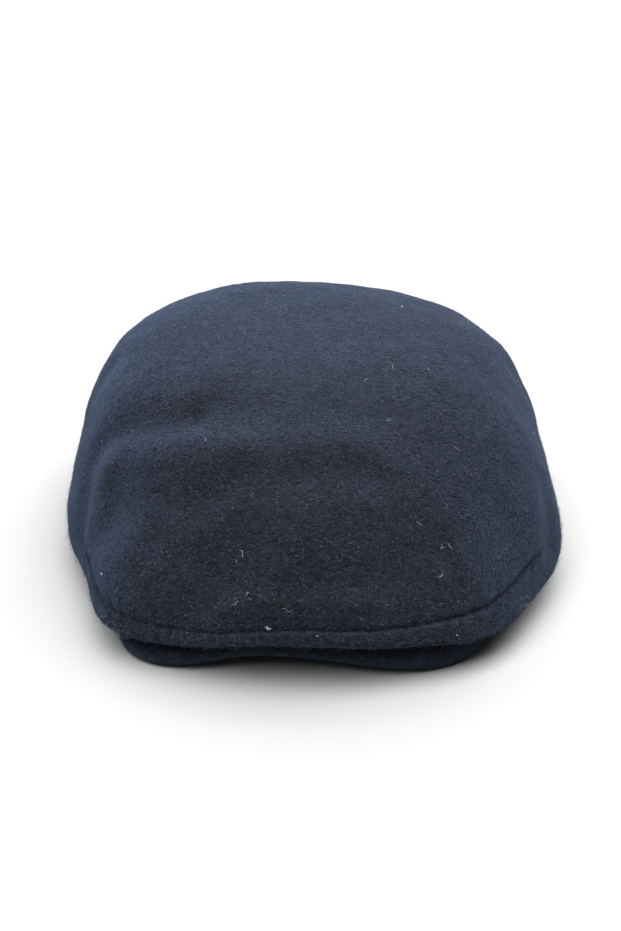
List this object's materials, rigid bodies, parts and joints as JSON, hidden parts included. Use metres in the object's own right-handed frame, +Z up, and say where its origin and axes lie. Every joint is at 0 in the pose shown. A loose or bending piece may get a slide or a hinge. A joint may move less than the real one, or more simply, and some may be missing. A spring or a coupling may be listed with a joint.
{
  "type": "flat cap",
  "caption": "Soft dark wool flat cap: a puffed one-piece crown, hollow and open underneath, whose stitched front hem lies over a short arched stiff peak.",
  "frame": {"origin": "middle of the cap's footprint, on the surface that it rests on", "axes": "+Z up, -Y towards the peak, +X to the right as seen from the front"},
  "size_m": [0.2546, 0.2788, 0.103],
  "materials": {
    "crown_wool": "dark navy fulled wool with a short hairy nap, matt",
    "peak_wool": "the same dark navy wool stretched over a stiff peak, matt"
  },
  "bodies": {
    "root": {"crown": "crown_wool", "peak": "peak_wool"}
  },
  "joints": []
}
